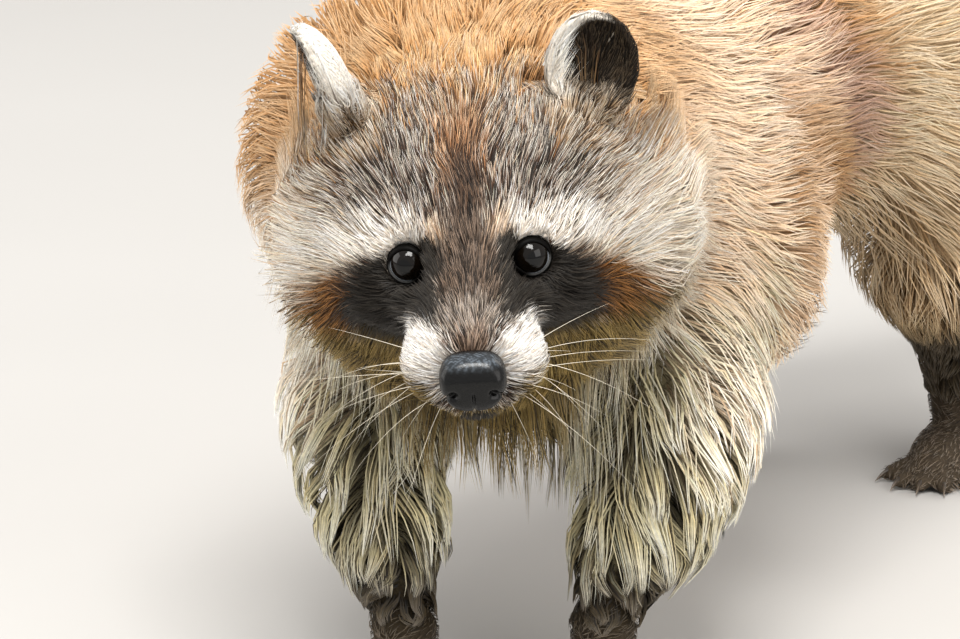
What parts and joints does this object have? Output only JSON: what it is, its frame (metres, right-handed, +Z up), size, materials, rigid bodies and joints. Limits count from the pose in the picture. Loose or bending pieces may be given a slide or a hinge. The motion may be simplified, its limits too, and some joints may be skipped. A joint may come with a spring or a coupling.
{
  "type": "raccoon",
  "caption": "Life-size still raccoon standing on its paws in mid-step, with a masked face turned to its left, upright rounded ears, a thick coat and a bushy ringed tail.",
  "frame": {"origin": "on the floor, under the middle of the whole animal", "axes": "+Z up; the animal stands along Y with its nose towards -Y and its tail towards +Y; +X is the animal's left"},
  "size_m": [0.2512, 0.7894, 0.3047],
  "materials": {
    "face_fur": "dense short fur, grizzled grey-brown with a black mask and white brows and cheeks",
    "body_fur": "long dense coat, russet with cream tips over dark brown underfur",
    "tail_fur": "bushy fur ringed in buff and dark brown",
    "leg_fur": "wet fur in wavy cream and grey locks over dark brown",
    "ear_fur": "very short fur, pale at the rim and dark inside",
    "paw_skin": "bare dark skin with very short dusky hair",
    "nose_leather": "moist pebbled black skin",
    "eye": "wet, near-black brown",
    "claw": "dark translucent horn",
    "whisker": "white hair"
  },
  "bodies": {
    "root": {"head": "face_fur", "neck": "body_fur", "trunk": "body_fur", "tail": "tail_fur", "foreleg_left": "leg_fur", "foreleg_right": "leg_fur", "hindleg_left": "leg_fur", "hindleg_right": "leg_fur", "ear_left": "ear_fur", "ear_right": "ear_fur", "forepaw_left": "paw_skin", "forepaw_right": "paw_skin", "hindpaw_left": "paw_skin", "hindpaw_right": "paw_skin", "nose": "nose_leather", "eye_left": "eye", "eye_right": "eye"}
  },
  "joints": []
}
